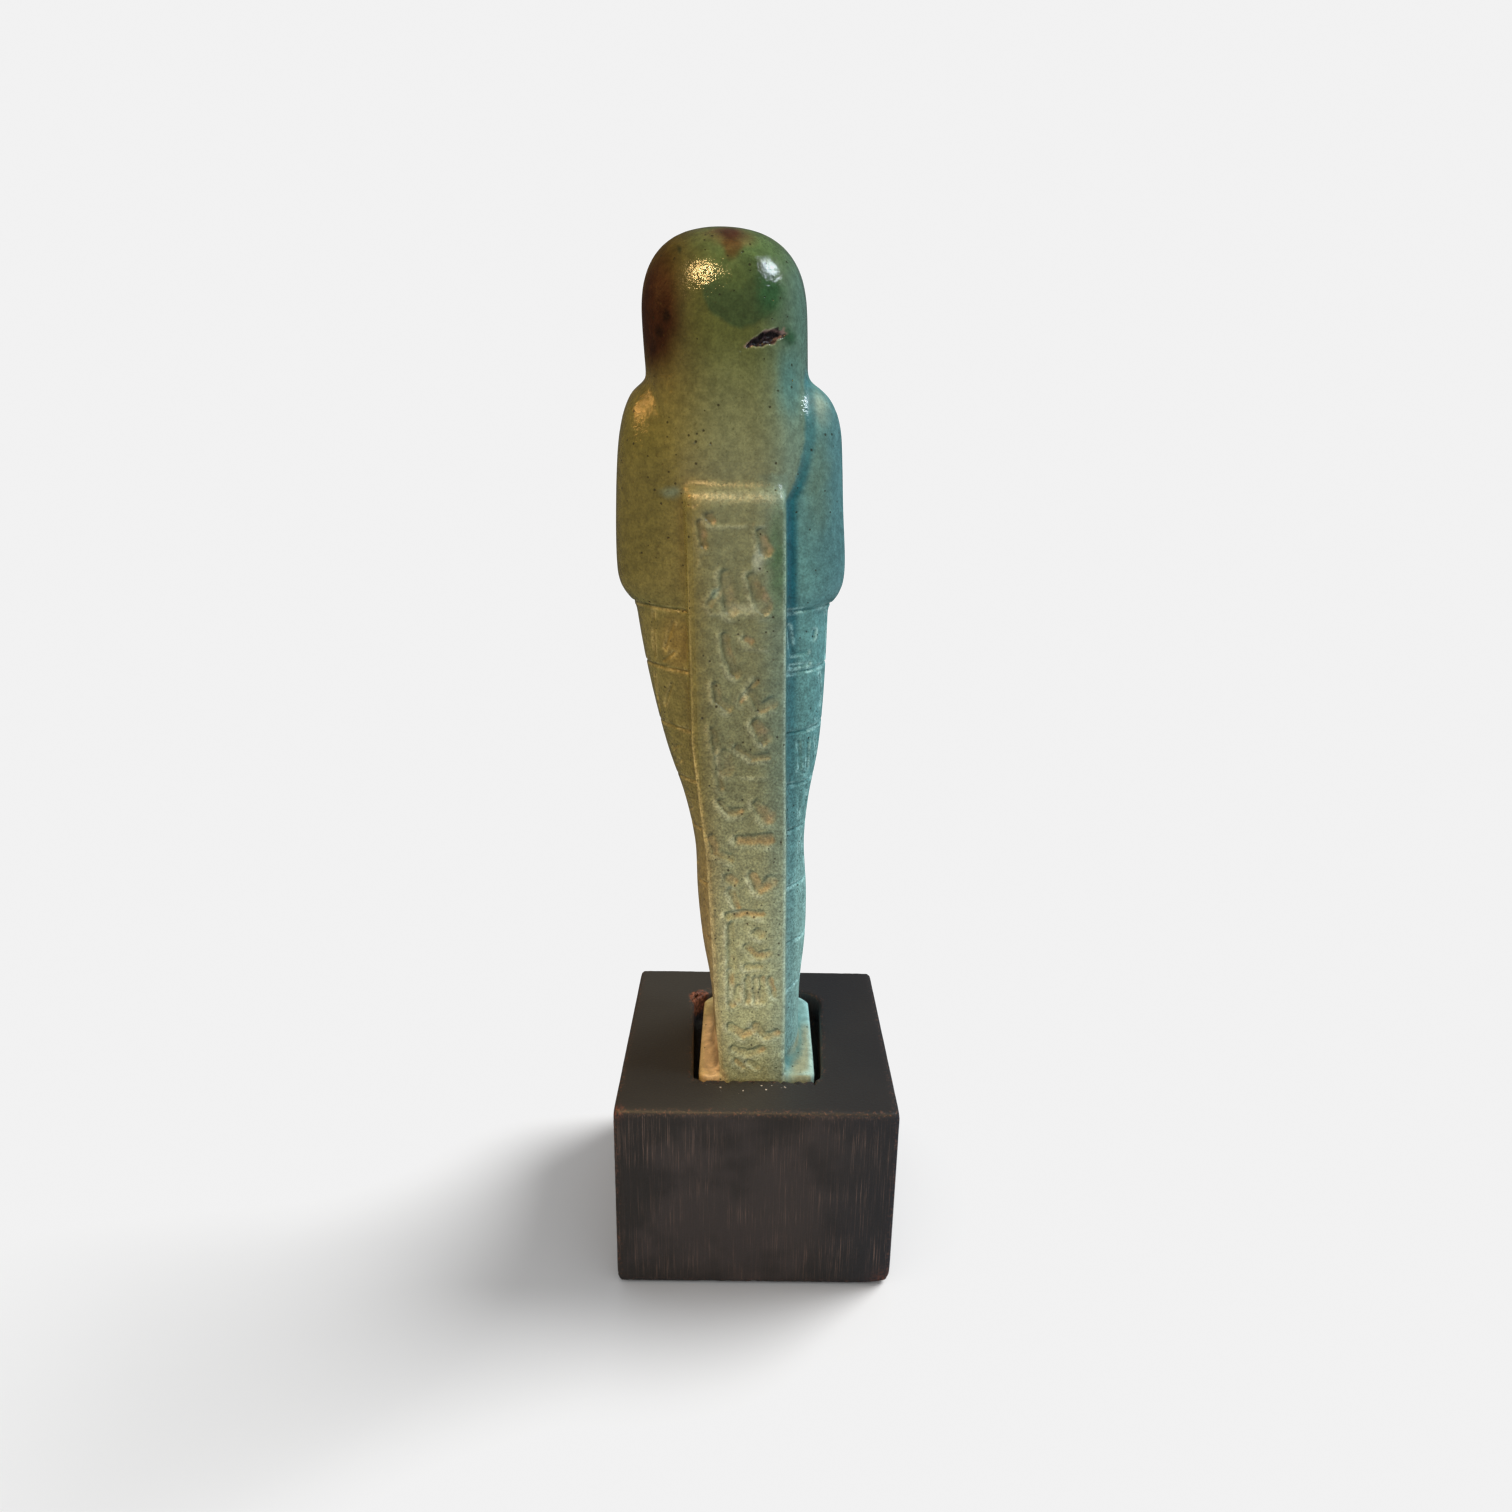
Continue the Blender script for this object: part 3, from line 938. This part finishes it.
# The picture holds everything brighter than the backdrop at the backdrop's own grey, so the
# floor runs into it with no line, and only the lamps' glints on the glaze go above that
BRIGHTEST = 8.0
view = bpy.context.scene.view_settings
view.view_transform = "Standard"
view.look = "None"
view.use_curve_mapping = True
tone = view.curve_mapping
tone.clip_max_x = tone.clip_max_y = BRIGHTEST
whole = tone.curves[3]
whole.points[-1].location = (BRIGHTEST, 1.2)
for place in ((0.84, 0.84), (0.90, 0.884), (1.25, 0.888), (3.0, 1.0)):
    whole.points.new(*place)
for point in whole.points:
    point.handle_type = "VECTOR"
tone.update()

# The camera sees the pale backdrop, glossy surfaces mirror a dark one, and a grey one lights all
world = bpy.data.worlds.new("pale_studio")
bpy.context.scene.world = world
world.use_nodes = True
seen = world.node_tree.nodes["Background"]
seen.inputs["Color"].default_value = linear(BACKDROP)
around, mirrored = [add_node(world, "Background", {"Color": (grey, grey, grey, 1.0)})
                    for grey in (0.50, 0.08)]
ray = add_node(world, "LightPath")
backdrop = add_node(world, "MixShader", {0: ray.outputs["Is Glossy Ray"],
                                         1: around.outputs[0], 2: mirrored.outputs[0]})
backdrop = add_node(world, "MixShader", {0: ray.outputs["Is Camera Ray"],
                                         1: backdrop.outputs[0], 2: seen.outputs[0]})
world.node_tree.links.new(backdrop.outputs[0],
                          world.node_tree.nodes["World Output"].inputs["Surface"])

sun = bpy.data.lights.new("soft_key", "SUN")
sun.energy = 2.76
sun.angle = math.radians(35.0)
key = bpy.data.objects.new("soft_key", sun)
key.rotation_euler = Vector((-0.652, -0.304, 0.695)).to_track_quat("Z", "Y").to_euler()
key.visible_glossy = False
bpy.context.scene.collection.objects.link(key)

# Each lamp's direction and distance from the figure, size, power and colour
LAMPED_PLACE = Vector((0.006, 0.0, 0.17))
LAMPS = (
    ("warm_high", (0.33, 0.67, 0.66), 0.6, (0.22, 0.02), 2.6, "#ffcf8a"),
    ("cool_high", (-0.68, 0.14, 0.72), 0.6, (0.15, 0.02), 1.4, "#e6f4ff"),
    ("warm_low", (0.88, 0.06, 0.46), 0.6, (0.30, 0.010), 0.7, "#ffb45e"),
)
lit = bpy.data.collections.new("lit_by_lamps")
lit.objects.link(figure)
lit.objects.link(block)
for name, direction, distance, size, power, tint in LAMPS:
    lamp = bpy.data.lights.new(name, "AREA")
    lamp.shape = "ELLIPSE"
    lamp.size, lamp.size_y = size
    lamp.energy = power
    lamp.color = linear(tint)[:3]
    item = bpy.data.objects.new(name, lamp)
    item.location = LAMPED_PLACE + Vector(direction).normalized() * distance
    item.rotation_euler = Vector(direction).to_track_quat("Z", "Y").to_euler()
    bpy.context.scene.collection.objects.link(item)
    item.light_linking.receiver_collection = lit
